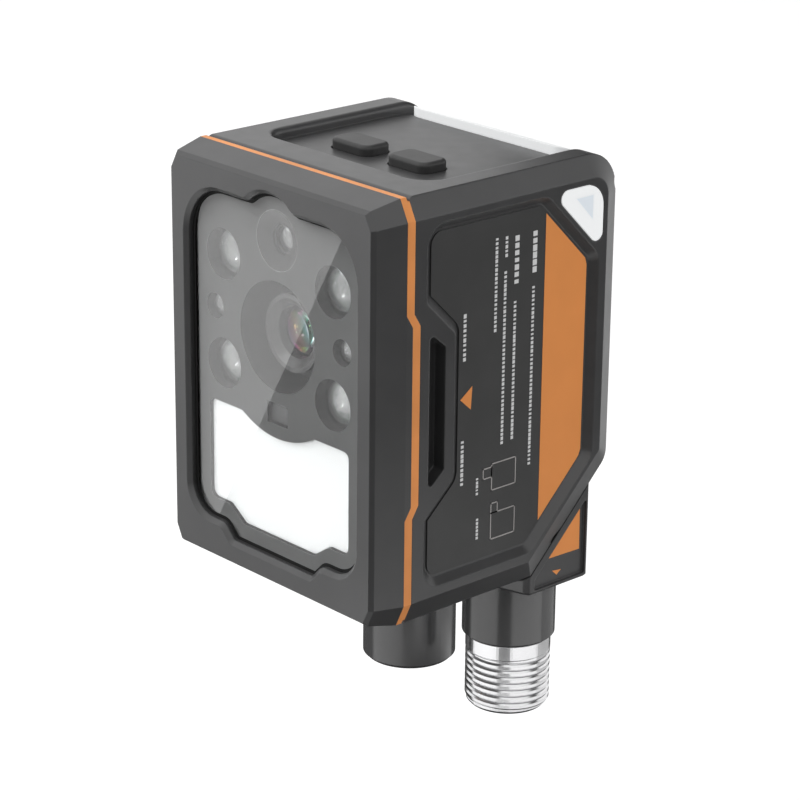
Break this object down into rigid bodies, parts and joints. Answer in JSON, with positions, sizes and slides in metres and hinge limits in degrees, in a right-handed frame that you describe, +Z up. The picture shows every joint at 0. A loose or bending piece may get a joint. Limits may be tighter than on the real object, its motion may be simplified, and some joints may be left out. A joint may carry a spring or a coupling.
{
  "type": "machine vision camera",
  "caption": "Compact machine vision camera: recessed window over lens and lamps, white light panel, orange joint seal, top keys and a swivelling block with round connectors.",
  "frame": {"origin": "centre of the four tapped mounting holes, on the rear face", "axes": "+X to the right as the window is faced, +Y from the window to the rear, +Z up"},
  "size_m": [0.0426, 0.0435, 0.081],
  "materials": {
    "cover_paint": "die cast with a satin coat",
    "housing_paint": "die cast with a satin coat",
    "seal_rubber": "matt",
    "pane_glass": "polished",
    "dark_plastic": "fine grained",
    "white_plastic": "smooth",
    "lens_glass": "polished and coated",
    "brass": "turned",
    "barrel_metal": "black anodised",
    "circuit_board": "solder resist",
    "chip_body": "moulded",
    "lamp_chip": "moulded",
    "steel": "plain",
    "chrome_plate": "polished",
    "gold_plate": "polished",
    "label_film": "satin",
    "key_rubber": "matt",
    "grey_rubber": "matt"
  },
  "bodies": {
    "camera": {"front_cover": "cover_paint", "front_window": "pane_glass", "front_seal": "seal_rubber", "rear_housing": "housing_paint", "light_plate": "dark_plastic", "light_diffuser": "white_plastic", "led_lens_1": "lens_glass", "led_lens_2": "lens_glass", "led_lens_3": "lens_glass", "led_lens_4": "lens_glass", "pilot_lens_left": "lens_glass", "pilot_lens_right": "lens_glass", "distance_window": "dark_plastic", "distance_sensor": "chip_body", "aimer_barrel": "brass", "aimer_lens": "lens_glass", "led_board": "circuit_board", "lamp_leds": "lamp_chip", "diffuser_leds": "lamp_chip", "lens_holder": "barrel_metal", "lens_barrel": "barrel_metal", "lens_lock_ring": "barrel_metal", "front_lens": "lens_glass", "rear_lens": "lens_glass", "image_sensor": "chip_body", "sensor_board": "circuit_board", "board_spacers": "brass", "processor_board": "circuit_board", "processor_chip": "chip_body", "io_board": "circuit_board", "status_leds": "lamp_chip", "board_screws": "steel", "side_light_left": "white_plastic", "side_light_right": "white_plastic", "rear_light": "white_plastic", "key_board": "circuit_board", "key_switches": "chip_body", "key_seal": "grey_rubber", "key_board_screws": "steel", "side_label": "label_film", "cover_screws": "steel"},
    "left_key": {"button_left": "key_rubber"},
    "right_key": {"button_right": "key_rubber"},
    "connectors": {"connector_block": "housing_paint", "swivel_flange": "barrel_metal", "flange_screws": "steel", "swivel_seal": "grey_rubber", "swivel_retainer": "steel", "retainer_screws": "steel", "connector_board": "circuit_board", "power_collar": "housing_paint", "power_shell": "chrome_plate", "power_insert": "dark_plastic", "power_pins": "gold_plate", "network_sleeve": "housing_paint", "network_insert": "dark_plastic", "network_contacts": "gold_plate"}
  },
  "joints": [
    {"name": "left_key_press", "type": "slide", "parent": "camera", "child": "left_key", "axis": [0, 0, -1], "range_m": [0, 0.0005], "stiffness_N_per_m": 1500, "springref_m": -0.0005},
    {"name": "right_key_press", "type": "slide", "parent": "camera", "child": "right_key", "axis": [0, 0, -1], "range_m": [0, 0.0005], "stiffness_N_per_m": 1500, "springref_m": -0.0005},
    {"name": "connector_swivel", "type": "hinge", "parent": "camera", "child": "connectors", "pos_m": [0, -0.0085, -0.02755], "axis": [0, 0.7071, -0.7071], "range_deg": [0, 180]}
  ]
}
